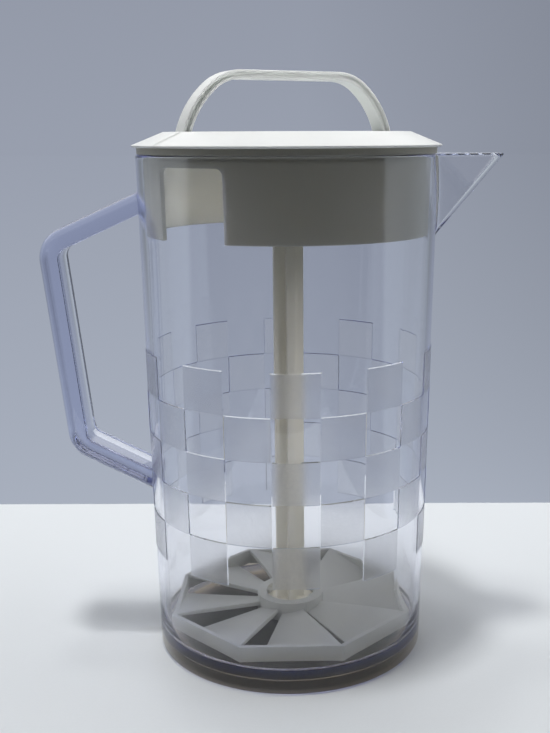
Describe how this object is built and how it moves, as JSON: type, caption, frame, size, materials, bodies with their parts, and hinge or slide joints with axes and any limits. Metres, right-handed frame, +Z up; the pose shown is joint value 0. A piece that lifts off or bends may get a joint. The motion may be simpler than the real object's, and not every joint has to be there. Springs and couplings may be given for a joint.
{
  "type": "quick-stir pitcher",
  "caption": "Clear tapered drinks jug with a beak spout, an angular side handle, a turning lid with a pour notch, and a plunger that pumps a vaned paddle wheel through the lid.",
  "frame": {"origin": "on the jug's axis, at the level of the table it stands on", "axes": "+Z up along the jug's axis, +X towards the spout, -X towards the side handle"},
  "size_m": [0.1991, 0.1316, 0.2532],
  "materials": {
    "clear_plastic": "clear, with a pale violet-blue tint and frosted checker panels",
    "white_plastic": "satin moulded white",
    "ivory_plastic": "satin moulded ivory",
    "grey_white_plastic": "satin moulded off-white"
  },
  "bodies": {
    "jug": {"jug_shell": "clear_plastic", "side_handle": "clear_plastic"},
    "lid": {"lid_cover": "white_plastic", "lid_skirt": "ivory_plastic"},
    "plunger": {"plunger_handle": "white_plastic", "plunger_rod": "ivory_plastic", "paddle_wheel": "grey_white_plastic"}
  },
  "joints": [
    {"name": "lid_turn", "type": "hinge", "parent": "jug", "child": "lid", "pos_m": [0, 0, 0.2195], "axis": [0, 0, 1], "continuous": true},
    {"name": "plunger_slide", "type": "slide", "parent": "lid", "child": "plunger", "axis": [0, 0, 1], "range_m": [0, 0.185]}
  ]
}
